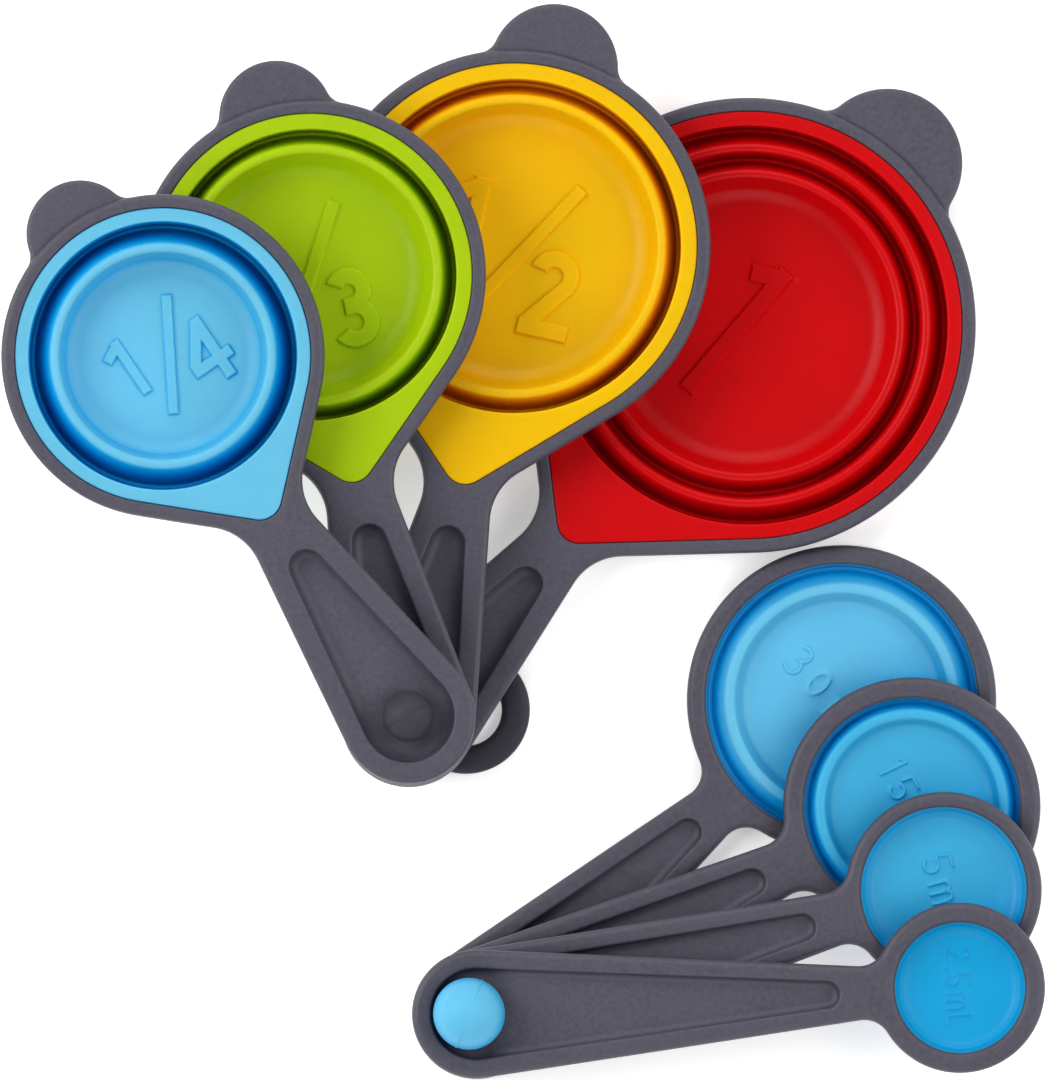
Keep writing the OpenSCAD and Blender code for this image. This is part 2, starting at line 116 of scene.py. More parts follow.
# Spoon frames
SPOON_T = 5.0
SPOON_HUB = 15.4
SPOON_NECK = 6.1
SPOON_BLEND = 6.5
SPOON_STOP = 8.5
SPOON_RECESS = {"r": 10.8, "tip": 3.2, "depth": 2.4, "cove": 2.0}
SPOON_ROUND = 1.7      # rounding of the ring's and handle's outer edge
MOUTH_ROUND = 1.3      # rounding of the ring's inner edge
LIP_GAP = 0.1          # play round a bowl's lip in its groove
LIP_DROP = 0.8
LIP_W = 1.5
# Pins
CUP_PIN = {"hole": 3.06, "boss": 7.2, "foot": 5.2, "knob": 6.0}
SPOON_PIN = {"hole": 2.66, "boss": 6.2, "foot": 6.2, "knob": 8.6}
SEAT = 0.55            # height of a ball's centre above its seat, in radii
PIN_PLAY = 0.06        # play round a pin in its bores
HEAD_LEAN = 1.7        # how far the spoon pin's soft head leans to the left
LOOP = {"r": 15.4, "hole": 8.6, "t": 4.4, "shift": 14.0}
WALL = 1.2
FLANGE_SEAM = 0.6      # where a cup's flange meets its bowl, out from the mouth
FLANGE_ROUND = 0.35    # rounding of the flange's edge
EDGE_ROUND = 0.55      # rounding of the mouth's edge
ALMOST_FLAT = 1.56     # half angle, in radians, above which a corner isn't rounded
MARK_EDGE = 0.55       # width of the slope round a raised marking
MARK_GRID = 0.17       # spacing of the trial points round a marking
CUP_MARK = 0.75        # height of a cup's marking
SPOON_MARK = 0.42
FOLD_WALL = 0.8        # wall of a fold
THIN = 0.5             # wall of a fold that turns inside out
BASE_LEVEL = 1.05      # base disc below the flange, in fold heights
CREST_LEVEL = 0.1      # crest below the flange, in fold heights
FIRST_GROOVE = 0.16    # where the groove inside the mouth lies on the way to its crest
NEXT_GROOVE = 0.40     # where a groove between two crests lies


# ---- places in the frame

def node_points(node):
    """Corner points of a CAD node, in millimetres"""
    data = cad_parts[node].data
    co = np.empty(len(data.vertices) * 3, np.float32)
    data.vertices.foreach_get("co", co)
    return co.reshape(-1, 3).astype(float) / MM


def top_of(node):
    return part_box(node)[1].z / MM


def lowest_of(node):
    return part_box(node)[0].z / MM


def base_centre(node):
    """Centre of the base disc of a bowl, from its lowest edge"""
    co = node_points(node)
    low = co[co[:, 2] < co[:, 2].min() + 0.02]
    return (low.min(0) + low.max(0))[:2] / 2


def pin_axis(node):
    low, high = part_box(node)
    return np.array([(low.x + high.x) / 2, (low.y + high.y) / 2]) / MM


def along(pivot, centre):
    """Reach and direction of a handle from its pin to the centre of its bowl"""
    d = centre - pivot
    return float(np.hypot(d[0], d[1])), math.atan2(d[1], d[0])


# ---- outlines

def unit(v):
    v = np.asarray(v, float)
    return v / np.hypot(v[0], v[1])


def heading(v):
    return math.atan2(v[1], v[0])


def short_turn(start, end):
    """Angle from start to end, the short way round"""
    return (end - start + math.pi) % (2 * math.pi) - math.pi


def arc(centre, radius, start, end, hollow=False, step=POINT_GAP):
    """Points and outward normals along an arc, the short way round"""
    turn = short_turn(start, end)
    count = max(2, int(math.ceil(abs(turn) * radius / step)))
    a = start + turn * np.arange(count + 1) / count
    n = np.stack([np.cos(a), np.sin(a)], 1)
    return np.asarray(centre, float) + radius * n, (-n if hollow else n)


def side(a, b, normal, step=1.2):
    """A straight side, bowed out a hair so that no three of its points lie in one line"""
    a = np.asarray(a, float)
    b = np.asarray(b, float)
    count = max(1, int(math.ceil(np.hypot(*(b - a)) / step)))
    t = np.arange(count + 1)[:, None] / count
    n = np.repeat(np.asarray(normal, float)[None], count + 1, 0)
    return a + (b - a) * t + n * HAIR * 4 * t * (1 - t), n


def mirrored(parts):
    """A closed outline, anticlockwise, from its upper half drawn from +X round to -X"""
    points = np.concatenate([p for p, n in parts])
    normals = np.concatenate([n for p, n in parts])
    gap = np.hypot(*(points[1:] - points[:-1]).T)
    keep = np.concatenate([[True], gap > 1e-6])
    points = points[keep]
    normals = normals[keep]
    flip = np.array([1.0, -1.0])
    return (np.concatenate([points, points[-2:0:-1] * flip]),
            np.concatenate([normals, normals[-2:0:-1] * flip]))


def circle(x, radius, count=0):
    """A circle on the X axis, with points POINT_GAP apart unless a count is given"""
    count = count or max(24, int(2 * math.pi * radius / POINT_GAP))
    a = 2 * math.pi * np.arange(count) / count
    n = np.stack([np.cos(a), np.sin(a)], 1)
    return np.array([x, 0.0]) + radius * n, n


def taper(x1, r1, x2, r2, step=POINT_GAP):
    """Two circles on the X axis and their common sides"""
    s = (r1 - r2) / (x2 - x1)
    n = np.array([s, math.sqrt(1 - s * s)])
    a = heading(n)
    return mirrored([arc((x2, 0), r2, 0, a, step=step),
                     side(np.array([x2, 0]) + r2 * n, np.array([x1, 0]) + r1 * n, n),
                     arc((x1, 0), r1, a, math.pi - 1e-9, step=step)])


def cup_outline(reach, flange, tab):
    """Outline of a cup frame, with the thumb tab where tab is given"""
    rr = flange + BORDER
    tr = TIP_R + BORDER
    sa = (HUB - NECK) / TIP_X
    sb = (rr - tr) / (reach - TIP_X)
    na = np.array([sa, math.sqrt(1 - sa * sa)])
    nb = np.array([-sb, math.sqrt(1 - sb * sb)])
    ka = HUB + NECK_BLEND
    kb = tr - TIP_X * sb + NECK_BLEND
    c = np.linalg.solve(np.array([na, nb]), np.array([ka, kb]))
    bowl = np.array([reach, 0.0])
    parts = []
    start = 0.0
    if tab:
        cx = ((rr + TAB_BLEND) ** 2 - (tab + TAB_BLEND) ** 2 + flange ** 2) / (2 * flange)
        cc = np.array([cx, math.sqrt((rr + TAB_BLEND) ** 2 - cx * cx)])
        ct = cc - np.array([flange, 0.0])
        parts.append(arc(bowl + [flange, 0], tab, 0, heading(ct)))
        parts.append(arc(bowl + cc, TAB_BLEND, heading(-ct), heading(-cc), hollow=True))
        start = heading(cc)
    parts.append(arc(bowl, rr, start, heading(nb)))
    parts.append(side(bowl + rr * nb, c - NECK_BLEND * nb, nb))
    parts.append(arc(c, NECK_BLEND, heading(-nb), heading(-na), hollow=True))
    parts.append(side(c - NECK_BLEND * na, HUB * na, na))
    parts.append(arc((0, 0), HUB, heading(na), math.pi - 1e-9))
    return mirrored(parts)


def spoon_outline(reach, ring):
    f = SPOON_BLEND
    s = (SPOON_HUB - SPOON_NECK) / (reach - ring)
    n = np.array([s, math.sqrt(1 - s * s)])
    run = np.array([n[1], -n[0]])
    bowl = np.array([reach, 0.0])
    o = (SPOON_HUB + f) * n - bowl
    k = o @ run
    t = -k - math.sqrt(k * k - o @ o + (ring + f) ** 2)
    c = (SPOON_HUB + f) * n + t * run
    return mirrored([arc(bowl, ring, 0, heading(c - bowl)),
                     arc(c, f, heading(bowl - c), heading(-n), hollow=True),
                     side(c - f * n, SPOON_HUB * n, n),
                     arc((0, 0), SPOON_HUB, heading(n), math.pi - 1e-9)])


def inside(points, loop):
    """Distance of each point to a closed outline, positive inside it"""
    a = loop
    e = np.roll(loop, -1, 0) - loop
    squared = np.maximum((e ** 2).sum(1), 1e-12)
    rise = np.where(np.abs(e[:, 1]) < 1e-12, 1e-12, e[:, 1])
    out = np.empty(len(points))
    for i in range(0, len(points), 2000):
        p = points[i:i + 2000]
        dx = p[:, None, 0] - a[None, :, 0]
        dy = p[:, None, 1] - a[None, :, 1]
        t = np.clip((dx * e[:, 0] + dy * e[:, 1]) / squared, 0, 1)
        gap = np.sqrt(((dx - t * e[:, 0]) ** 2 + (dy - t * e[:, 1]) ** 2).min(1))
        above = dy < 0
        next_above = dy - e[:, 1] < 0
        hit = (above != next_above) & (dx < dy * e[:, 0] / rise)
        out[i:i + 2000] = np.where(hit.sum(1) % 2 == 1, gap, -gap)
    return out


# ---- mesh parts

def thin(points, gap, kept):
    """The points that stay at least gap from each other and from those kept already"""
    cells = {}
    for x, y in kept:
        cells.setdefault((int(x // gap), int(y // gap)), []).append((x, y))
    around = [(i, j) for i in (-1, 0, 1) for j in (-1, 0, 1)]
    out = []
    for x, y in points:
        cx = int(x // gap)
        cy = int(y // gap)
        close = [p for i, j in around for p in cells.get((cx + i, cy + j), ())]
        if all((u - x) ** 2 + (v - y) ** 2 >= gap * gap for u, v in close):
            cells.setdefault((cx, cy), []).append((x, y))
            out.append((x, y))
    return np.array(out).reshape(-1, 2)


def carpet(outer, holes, rings, height, spacing=2.2, up=True):
    """A sheet over the area between outlines, with z from a height function"""
    loops = [outer] + holes
    border = np.concatenate(loops)
    edges = []
    first = 0
    for loop in loops:
        edges += [(first + i, first + (i + 1) % len(loop)) for i in range(len(loop))]
        first += len(loop)
    extra = np.zeros((0, 2))
    if rings:
        extra = np.concatenate([r.reshape(-1, 2) for r in rings])
    low = outer.min(0)
    high = outer.max(0)
    gx, gy = np.meshgrid(np.arange(low[0], high[0], spacing),
                         np.arange(low[1], high[1], spacing * 0.87))
    gx = gx + (np.arange(gx.shape[0]) % 2)[:, None] * spacing / 2
    grid = np.stack([gx.ravel(), gy.ravel()], 1)

    def within(p, margin):
        ok = inside(p, outer) > margin
        for h in holes:
            ok &= inside(p, h) < -margin
        return p[ok]

    near = thin(within(extra, FINE * 0.7), FINE, border)
    grid = thin(within(grid, spacing * 0.5), spacing * 0.6, np.concatenate([border, near]))
    points = np.concatenate([border, near, grid])
    result = delaunay_2d_cdt([Vector(p) for p in points], edges, [], 0, 1e-7)
    co = np.array([tuple(v) for v in result[0]])
    faces = np.array(result[2])
    middle = co[faces].mean(1)
    keep = inside(middle, outer) > 0
    for h in holes:
        keep &= inside(middle, h) < 0
    faces = faces[keep]
    if not up:
        faces = faces[:, ::-1]
    z = height(co) if callable(height) else np.full(len(co), float(height))
    return np.column_stack([co, z]), [tuple(int(i) for i in f) for f in faces]


def strip(rings, closed=True, flip=False):
    """Faces between loops that all have the same number of points"""
    count = len(rings[0])
    verts = np.concatenate(rings)
    faces = []
    span = count if closed else count - 1
    for k in range(len(rings) - 1):
        for i in range(span):
            j = (i + 1) % count
            face = (k * count + i, k * count + j, (k + 1) * count + j, (k + 1) * count + i)
            faces.append(face[::-1] if flip else face)
    return verts, faces


def lift(points, z):
    """Flat points raised to z, which is a number or one number for each"""
    return np.column_stack([points, np.broadcast_to(z, len(points)).astype(float)])


def cup_round(d, r):
    """How far a rounded edge of radius r lies below its face, d in from the edge"""
    t = np.where(d < ON_EDGE, r, np.clip(r - d, 0, r))
    return r - np.sqrt(np.maximum(r * r - t * t, 0))


def steps(r, count):
    """Distances in from an edge that sample a rounding of radius r evenly"""
    a = np.linspace(0, math.pi / 2, count + 1)[1:]
    return r * (1 - np.cos(a))


def smooth_max(a, b, k):
    h = np.clip(0.5 + 0.5 * (a - b) / k, 0, 1)
    return b + (a - b) * h + k * h * (1 - h)


class Shell:
    """Gathers mesh parts, with a share for each point, and makes one closed mesh of them"""

    def __init__(self):
        self.verts = []
        self.faces = []
        self.shares = []
        self.count = 0

    def add(self, part, share=0.0):
        verts, faces = part
        self.verts.append(verts)
        self.shares.append(np.broadcast_to(share, len(verts)).astype(float))
        self.faces += [tuple(i + self.count for i in f) for f in faces]
        self.count += len(verts)

    def build(self, name, place, sharp=38.0):
        co = np.concatenate(self.verts)
        share = np.concatenate(self.shares)
        mesh = bpy.data.meshes.new(name)
        mesh.from_pydata((co * MM).tolist(), [], self.faces)
        mesh.attributes.new("share", "FLOAT", "POINT").data.foreach_set("value", share)
        bm = bmesh.new()
        bm.from_mesh(mesh)
        bmesh.ops.remove_doubles(bm, verts=bm.verts, dist=2e-6)
        bmesh.ops.dissolve_degenerate(bm, dist=1e-7, edges=bm.edges)
        bmesh.ops.recalc_face_normals(bm, faces=bm.faces)
        for f in bm.faces:
            f.smooth = True
        bm.to_mesh(mesh)
        bm.free()
        mesh.transform(place)
        mesh.set_sharp_from_angle(angle=math.radians(sharp))
        piece = bpy.data.objects.new(name, mesh)
        bpy.context.scene.collection.objects.link(piece)
        return piece


def placing(pivot, direction, z):
    return Matrix.Translation((pivot[0] * MM, pivot[1] * MM, z * MM)) @ Matrix.Rotation(
        direction, 4, "Z")


# ---- frames

def recess_outline(x_tip, recess):
    return taper(0, recess["r"], x_tip, recess["tip"], step=0.6)


def recess_rings(outline, cove):
    points, normals = outline
    out = [points + normals * d for d in steps(RECESS_EDGE, 5)]
    out += [points]
    out += [points - normals * d for d in steps(cove, 9)]
    return out


def recess_drop(d, recess):
    """Depth of a handle recess at distance d inside its outline"""
    edge = np.where(d < 0, cup_round(-d, RECESS_EDGE), RECESS_EDGE)
    t = np.clip(1 - d / recess["cove"], 0, 1)
    cove = (recess["depth"] - RECESS_EDGE) * np.sqrt(np.maximum(1 - t * t, 0))
    return edge + np.where(d > 0, cove, 0)


def hub_bottom(shell, boss, hole, under, foot, recess_floor):
    """Boss under a hub, where it has one, and the bore through it"""
    wall = circle(0, boss)[0]
    bore = circle(0, hole)[0]
    low = under - foot
    if foot:
        edge = 0.5
        corner = 0.3 * edge
        shell.add(strip([lift(wall, under), lift(wall, low + edge),
                         lift(wall * (1 - corner / boss), low + corner),
                         lift(wall * (1 - edge / boss), low)]))
        shell.add(carpet(wall * (1 - edge / boss), [bore], [], low, up=False))
    shell.add(strip([lift(bore, low), lift(bore, recess_floor)]))


def cup_frame(key, name, place, reach, foot):
    d = CUPS[key]
    full = cup_outline(reach, d["flange"], d["tab"])
    body = cup_outline(reach, d["flange"], 0)
    pocket = taper(TIP_X, TIP_R + POCKET_GAP, reach, d["flange"] + POCKET_GAP)
    recess = recess_outline(CUP_RECESS["x"], CUP_RECESS)
    seat = circle(reach, d["mouth"] + WALL + SEAT_GAP, AZIMUTHS)[0]
    bore = circle(0, CUP_PIN["hole"])[0]

    def top(p):
        rim = inside(p, body[0])
        tab = inside(p, full[0])
        rim_z = -cup_round(rim, RIM_ROUND) + np.minimum(rim, 0) * STEEP
        tab_z = -TAB_STEP - cup_round(tab, TAB_ROUND)
        z = smooth_max(rim_z, tab_z, CREASE)
        z = np.where(rim > WELL_IN, -cup_round(rim, RIM_ROUND), z)
        z = z - cup_round(-inside(p, pocket[0]), POCKET_LIP)
        return z - recess_drop(inside(p, recess[0]), CUP_RECESS)

    def bottom(p):
        rim = inside(p, body[0])
        tab = inside(p, full[0])
        rim_z = -CUP_T + cup_round(rim, UNDER_ROUND) - np.minimum(rim, 0) * STEEP
        tab_z = UNDER_TAB - CUP_T + cup_round(tab, UNDER_ROUND)
        z = -smooth_max(-rim_z, -tab_z, CREASE)
        return np.where(rim > WELL_IN, -CUP_T + cup_round(rim, UNDER_ROUND), z)

    rings = [full[0] - full[1] * s for s in steps(TAB_ROUND, 6)]
    rings += [body[0] - body[1] * s for s in steps(RIM_ROUND, 7)]
    rings += [body[0] + body[1] * s for s in (0.08, 0.16, 0.24, 0.34)]
    rings += [pocket[0] + pocket[1] * s for s in steps(POCKET_LIP, 4)]
    rings += recess_rings(recess, CUP_RECESS["cove"])
    shell = Shell()
    shell.add(carpet(full[0], [pocket[0], bore], rings, top))
    under_rings = [full[0] - full[1] * s for s in steps(UNDER_ROUND, 4)]
    under_rings += [body[0] - body[1] * s for s in steps(UNDER_ROUND, 4)]
    under_rings += [body[0] + body[1] * s for s in (0.1, 0.2, 0.3)]
    centre = circle(0, CUP_PIN["boss"])[0] if foot else bore
    shell.add(carpet(full[0], [seat, centre], under_rings, bottom, spacing=3, up=False))
    high = top(full[0])
    low = bottom(full[0])
    levels = [low + (high - low) * t for t in (0, 0.33, 0.67, 1)]
    shell.add(strip([lift(full[0], z) for z in levels]))
    ledge = -FLANGE_DROP - FLANGE_T - LEDGE_GAP
    shell.add(strip([lift(pocket[0], z) for z in (-POCKET_LIP, ledge)], flip=True))
    shell.add(carpet(pocket[0], [seat], [], ledge, spacing=3))
    shell.add(strip([lift(seat, z) for z in (ledge, -CUP_T)], flip=True))
    hub_bottom(shell, CUP_PIN["boss"], CUP_PIN["hole"], -CUP_T, foot, -CUP_RECESS["depth"])
    return shell.build(name, place)


def spoon_frame(key, name, place, reach, foot):
    d = SPOONS[key]
    full = spoon_outline(reach, d["ring"])
    tip = reach - d["ring"] - SPOON_STOP - SPOON_RECESS["tip"]
    recess = recess_outline(tip, SPOON_RECESS)
    mouth = circle(reach, d["mouth"], AZIMUTHS)
    bore = circle(0, SPOON_PIN["hole"])[0]

    def top(p):
        z = -cup_round(inside(p, full[0]), SPOON_ROUND)
        z = z - cup_round(-inside(p, mouth[0]), MOUTH_ROUND)
        return z - recess_drop(inside(p, recess[0]), SPOON_RECESS)

    def bottom(p):
        return -SPOON_T + cup_round(inside(p, full[0]), UNDER_ROUND)

    rings = [full[0] - full[1] * s for s in steps(SPOON_ROUND, 7)]
    rings += [mouth[0] + mouth[1] * s for s in steps(MOUTH_ROUND, 6)]
    rings += recess_rings(recess, SPOON_RECESS["cove"])
    shell = Shell()
    shell.add(carpet(full[0], [mouth[0], bore], rings, top))
    seat = circle(reach, d["mouth"] + WALL + 2 * STACK_GAP, AZIMUTHS)[0]
    under_rings = [full[0] - full[1] * s for s in steps(UNDER_ROUND, 4)]
    centre = circle(0, SPOON_PIN["boss"])[0] if foot else bore
    shell.add(carpet(full[0], [seat, centre], under_rings, bottom, spacing=3, up=False))
    high = top(full[0])
    low = bottom(full[0])
    shell.add(strip([lift(full[0], low + (high - low) * t) for t in (0, 0.5, 1)]))
    groove = circle(reach, d["mouth"] + LIP_W + LIP_GAP, AZIMUTHS)[0]
    lip_top = -LIP_DROP + STACK_GAP / 2
    lip_low = -LIP_DROP - WALL - STACK_GAP
    shell.add(strip([lift(mouth[0], top(mouth[0])), lift(mouth[0], lip_top),
                     lift(groove, lip_top), lift(groove, lip_low), lift(seat, lip_low),
                     lift(seat, bottom(seat))], flip=True))
    hub_bottom(shell, SPOON_PIN["boss"], SPOON_PIN["hole"], -SPOON_T, foot,
               -SPOON_RECESS["depth"])
    return shell.build(name, place)


# ---- silicone bowls

def filleted(corners):
    """A line through corners (r, z, rounding) with each corner rounded"""
    pts = [np.array(c[:2], float) for c in corners]
    out = [tuple(pts[0])]
    for i in range(1, len(pts) - 1):
        a = unit(pts[i - 1] - pts[i])
        b = unit(pts[i + 1] - pts[i])
        half = 0.5 * math.acos(max(-1.0, min(1.0, float(a @ b))))
        room = 0.5 * min(np.hypot(*(pts[i - 1] - pts[i])), np.hypot(*(pts[i + 1] - pts[i])))
        reach = min(corners[i][2] / math.tan(half), room * 0.98)
        if half > ALMOST_FLAT:
            out.append(tuple(pts[i]))
            continue
        r = reach * math.tan(half)
        centre = pts[i] + unit(a + b) * math.hypot(r, reach)
        start = heading(pts[i] + a * reach - centre)
        turn = short_turn(start, heading(pts[i] + b * reach - centre))
        count = max(3, int(abs(turn) / math.radians(9)))
        for k in range(count + 1):
            t = start + turn * k / count
            out.append((centre[0] + r * math.cos(t), centre[1] + r * math.sin(t)))
    out.append(tuple(pts[-1]))
    return np.array(out)


def offset_line(line, thick):
    """The line thick below a profile that runs inwards"""
    d = np.gradient(line, axis=0)
    d = d / np.hypot(d[:, 0], d[:, 1])[:, None]
    under = np.stack([-d[:, 1], d[:, 0]], 1)
    return line + under * thick[:, None]


def groove_radii(mouth, crests):
    """Radius of the groove outside each crest"""
    outers = (mouth,) + tuple(crests[:-1])
    return [outer + (c - outer) * (FIRST_GROOVE if outer == mouth else NEXT_GROOVE)
            for outer, c in zip(outers, crests)]


def fold_corners(mouth, crests, base, h):
    """Corners of a folded bowl, from the edge of its mouth to the flat of its base"""
    out = []
    for g, c in zip(groove_radii(mouth, crests), crests):
        out.append((g + 0.45, -h, 0.7))
        out.append((g - 0.35, -h, 1.2))
        out.append((c + 1.1, -CREST_LEVEL * h, 2.2))
        out.append((c - 0.8, -CREST_LEVEL * h, 1.15))
    deep = -BASE_LEVEL * h
    room = min(1.0, base / 30)
    out.append((base + 0.1, deep * 0.80, 2.5))
    out.append((base - 2.6 * room, deep * 0.97, 5.0))
    out.append((base - 8.0 * room, deep, 12.0))
    out.append((base - 12.0, deep, 0))
    return out


def dish_corners(mouth, h):
    """Corners of a plain dish, from the edge of its mouth to its floor"""
    return [(mouth - 0.9, -0.5 * h, 1.0), (mouth - 2.6, -0.88 * h, 2.5), (mouth - 6.5, -h, 7.0),
            (mouth - 9.5, -h, 0)]


def revolve(line, reach, flip=False):
    a = 2 * math.pi * np.arange(AZIMUTHS) / AZIMUTHS
    rings = []
    for r, z in line:
        rings.append(np.column_stack([reach + r * np.cos(a), r * np.sin(a),
                                      np.full(AZIMUTHS, z)]))
    return strip(rings, flip=flip)


def marked_disc(reach, line, relief):
    """Middle of a bowl, from the start of a profile to its centre, with a raised marking"""
    edge = circle(reach, line[0, 0], AZIMUTHS)[0]
    rings = list(relief["points"])
    for r in np.arange(line[0, 0] - 0.45, line[-1, 0], -0.6):
        rings.append(circle(reach, r, AZIMUTHS // 2)[0])

    def height(p):
        r = np.hypot(p[:, 0] - reach, p[:, 1])
        return np.interp(r, line[::-1, 0], line[::-1, 1]) + relief["height"](p)
    return carpet(edge, [], rings, height, spacing=1.6)


def plain_disc(reach, radius, z):
    return carpet(circle(reach, radius, AZIMUTHS)[0], [], [], z, spacing=3.0, up=False)


def bowl(name, place, reach, d, h, cup, relief, shares=None):
    """A folded bowl as one closed moulding; shares gives how far each ring of it travels"""
    mouth = d["mouth"]
    crests = d["crests"]
    seam = FLANGE_SEAM if cup else LIP_W
    below = fold_corners(mouth, crests, d["base"], h) if crests else dish_corners(mouth, h)
    line = filleted([(mouth + seam, 0.0, 0), (mouth, 0.0, EDGE_ROUND)] + below)
    thickness = np.full(len(line), THIN if shares else FOLD_WALL)
    fade = np.clip((line[:, 0] - mouth + 1.2) / 1.2, 0, 1)
    edge_t = FLANGE_T if cup else WALL
    thickness = thickness + (edge_t - thickness) * fade
    last = line[-1, 0]
    if crests:
        base_fade = np.clip((crests[-1] - 2.0 - line[:, 0]) / 3.0, 0, 1)
        thickness = thickness + (WALL - thickness) * base_fade
    under = offset_line(line, thickness)
    under[0] = (line[0, 0], line[0, 1] - edge_t)
    under[-1] = (last, line[-1, 1] - thickness[-1])
    under[:, 0] = np.maximum(under[:, 0], last)
    share = shares(line) if shares else np.zeros(len(line))
    shell = Shell()
    marked = d["base"] - 0.9 if crests else mouth - 2.4
    split = int(np.argmax(line[:, 0] < marked))
    shell.add(revolve(line[:split + 1], reach), np.repeat(share[:split + 1], AZIMUTHS))
    shell.add(revolve(under, reach, flip=True), np.repeat(share, AZIMUTHS))
    shell.add(marked_disc(reach, line[split:], relief), share[-1])
    shell.add(plain_disc(reach, last, under[-1, 1]), share[-1])
    if cup:
        inner = circle(reach, mouth + seam, AZIMUTHS)[0]
        rim = taper(TIP_X, TIP_R, reach, d["flange"])
        rings = [rim[0] - rim[1] * s for s in steps(FLANGE_ROUND, 4)]
        shell.add(carpet(rim[0], [inner], rings,
                         lambda p: -cup_round(inside(p, rim[0]), FLANGE_ROUND)), share[0])
        shell.add(carpet(rim[0], [inner], [], -FLANGE_T, spacing=3.0, up=False), share[0])
        shell.add(strip([lift(rim[0], -FLANGE_T), lift(rim[0], -FLANGE_ROUND)]), share[0])
    else:
        edge = revolve(np.array([[mouth + seam, -WALL], [mouth + seam, 0.0]]), reach)
        shell.add(edge, share[0])
    return shell.build(name, place)


# ---- numerals

def bar(a, b, w):
    """Distance outside a straight stroke with square ends"""
    a = np.asarray(a, float)
    b = np.asarray(b, float)
    run = unit(b - a)
    length = np.hypot(*(b - a))
    mid = (a + b) / 2

    def f(p):
        q = p - mid
        u = np.abs(q @ run) - length / 2
        v = np.abs(q @ np.array([-run[1], run[0]])) - w / 2
        return np.hypot(np.maximum(u, 0), np.maximum(v, 0)) + np.minimum(np.maximum(u, v), 0)
    return f


def bow(centre, radius, w, start, end, tall=1.0):
    """Distance outside a curved stroke from angle start anticlockwise to end, in degrees"""
    middle = math.radians((start + end) / 2)
    half = math.radians((end - start) / 2)

    def f(p):
        q = (p - np.asarray(centre, float)) / np.array([1.0, tall])
        r = np.hypot(q[:, 0], q[:, 1])
        off = np.arctan2(q[:, 1], q[:, 0]) - middle
        off = np.abs((off + math.pi) % (2 * math.pi) - math.pi) - half
        return np.maximum(np.abs(r - radius) - w / 2, np.minimum(off, 1.5) * r)
    return f


def union(shapes):
    return lambda p: np.min([s(p) for s in shapes], 0)


def trimmed(shape, low, high):
    """The part of a shape that lies inside a box"""
    def f(p):
        beyond = np.maximum(np.array(low) - p, p - np.array(high)).max(1)
        return np.maximum(shape(p), beyond)
    return f


def moved(shape, x, y, size):
    """A shape drawn one unit tall, set at x, y and made size tall"""
    return lambda p: shape((p - np.array([x, y])) / size) * size


def glyph(c, W):
    """Plain numerals and letters with strokes W wide, one unit tall and centred"""
    e = 0.5 - W / 2
    if c == "1":
        stem = bar((0.04, -0.5), (0.04, 0.5), W)
        flag = bar((0.04, 0.5 - 0.5 * W), (0.04 - 1.45 * W, 0.5 - 1.3 * W), W)
        return union([stem, trimmed(flag, (-1, -1), (0.04, 0.5))])
    if c == "2":
        r = 0.29 - W / 2
        stroke = bar((0.79 * r + 0.025, 0.24 - 0.616 * r), (-0.23, -e), W)
        return union([bow((0, 0.21), r, W, -50, 168), trimmed(stroke, (-0.3, -0.5), (1, 1)),
                      bar((-0.3, -e), (0.29, -e), W)])
    if c == "3":
        upper = 0.47 * e
        lower = e - upper
        middle = e - 2 * upper
        return union([bow((0, e - upper), upper, W, -105, 152),
                      bow((0, lower - e), lower, W, -152, 105),
                      bar((-0.1, middle), (0.12, middle), W)])
    if c == "4":
        post = 0.1
        slope = bar((post, 0.5 - 0.4 * W), (-0.3, -0.17), W)
        return union([bar((post, -0.5), (post, 0.5), W), bar((-0.34, -0.17), (0.32, -0.17), W),
                      trimmed(slope, (-0.34, -0.17 - W / 2), (post, 0.5))])
    if c == "5":
        return union([bar((-0.2, e), (0.26, e), W), bar((-0.19, 0.46), (-0.23, 0.02), W),
                      bow((-0.01, -0.2), 0.3 - W / 2, W, -160, 140)])
    if c == "0":
        return bow((0, 0), 0.29 - W / 2, W, -180, 180, tall=1.72)
    if c == "m":
        return union([bar((-0.3, -0.5), (-0.3, 0.2), W),
                      bow((-0.15, 0.02), 0.15, W, 0, 180), bow((0.15, 0.02), 0.15, W, 0, 180),
                      bar((0, -0.5), (0, 0.04), W), bar((0.3, -0.5), (0.3, 0.04), W)])
    if c == "L":
        return union([bar((-0.2, -0.5), (-0.2, 0.5), W), bar((-0.26, -e), (0.24, -e), W)])
    return bar((0, -0.5), (0, -0.5 + W * 1.2), W * 1.2)


